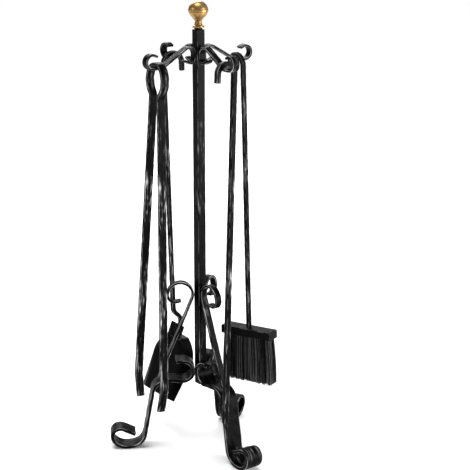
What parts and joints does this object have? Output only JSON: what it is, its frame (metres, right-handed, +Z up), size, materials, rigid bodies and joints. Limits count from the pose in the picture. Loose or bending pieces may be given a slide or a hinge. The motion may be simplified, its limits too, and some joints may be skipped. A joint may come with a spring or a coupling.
{
  "type": "fireplace tool set",
  "caption": "Free-standing wrought-iron hearth stand with a brass finial, holding hooked fireside tools: poker, shovel, brush and sprung tongs.",
  "frame": {"origin": "middle of the ground that the whole set covers, at floor height", "axes": "+Z up along the post, -Y towards the front leg and the poker, +X towards the brush"},
  "size_m": [0.2684, 0.2876, 0.715],
  "materials": {
    "black_iron": "hammered black lacquer, semi-gloss, worn on the edges",
    "brass": "hammered and polished",
    "black_paint": "black paint on wood, satin",
    "bristle": "stiff black bristle"
  },
  "bodies": {
    "stand": {"post": "black_iron", "finial_stud": "black_iron", "finial": "brass", "arm_right": "black_iron", "arm_back": "black_iron", "arm_left": "black_iron", "arm_front": "black_iron", "leg_front": "black_iron", "leg_back": "black_iron", "leg_left": "black_iron", "brace_front": "black_iron", "brace_back": "black_iron", "brace_left": "black_iron"},
    "poker": {"poker": "black_iron"},
    "shovel": {"shovel_shaft": "black_iron", "shovel_pan": "black_iron", "shovel_rivet_lower": "black_iron", "shovel_rivet_upper": "black_iron"},
    "brush": {"brush_shaft": "black_iron", "brush_block": "black_paint", "bristle_tuft_1_1": "bristle", "bristle_tuft_1_2": "bristle", "bristle_tuft_1_3": "bristle", "bristle_tuft_1_4": "bristle", "bristle_tuft_1_5": "bristle", "bristle_tuft_1_6": "bristle", "bristle_tuft_1_7": "bristle", "bristle_tuft_1_8": "bristle", "bristle_tuft_1_9": "bristle", "bristle_tuft_2_1": "bristle", "bristle_tuft_2_2": "bristle", "bristle_tuft_2_3": "bristle", "bristle_tuft_2_4": "bristle", "bristle_tuft_2_5": "bristle", "bristle_tuft_2_6": "bristle", "bristle_tuft_2_7": "bristle", "bristle_tuft_2_8": "bristle", "bristle_tuft_2_9": "bristle"},
    "tongs": {"tongs_bow": "black_iron"},
    "tongs_near_leg": {"tongs_near_leg": "black_iron"},
    "tongs_far_leg": {"tongs_far_leg": "black_iron"}
  },
  "joints": [
    {"name": "poker_lift", "type": "slide", "parent": "stand", "child": "poker", "axis": [0, 0, 1], "range_m": [0, 0.07]},
    {"name": "shovel_lift", "type": "slide", "parent": "stand", "child": "shovel", "axis": [0, 0, 1], "range_m": [0, 0.07]},
    {"name": "brush_lift", "type": "slide", "parent": "stand", "child": "brush", "axis": [0, 0, 1], "range_m": [0, 0.07]},
    {"name": "tongs_lift", "type": "slide", "parent": "stand", "child": "tongs", "axis": [0.4695, 0, 0.8829], "range_m": [0, 0.07]},
    {"name": "tongs_near_squeeze", "type": "hinge", "parent": "tongs", "child": "tongs_near_leg", "pos_m": [-0.07754, -0.01013, 0.57317], "axis": [0.9918, -0.1218, -0.0384], "range_deg": [0, 3.9], "stiffness_Nm_per_rad": 40},
    {"name": "tongs_far_squeeze", "type": "hinge", "parent": "tongs", "child": "tongs_far_leg", "pos_m": [-0.07436, 0.01571, 0.57317], "axis": [-0.9918, 0.1218, 0.0384], "range_deg": [0, 3.9], "stiffness_Nm_per_rad": 40}
  ],
  "couplings": [
    {"joint": "tongs_far_squeeze", "follows": "tongs_near_squeeze", "ratio": 1}
  ]
}
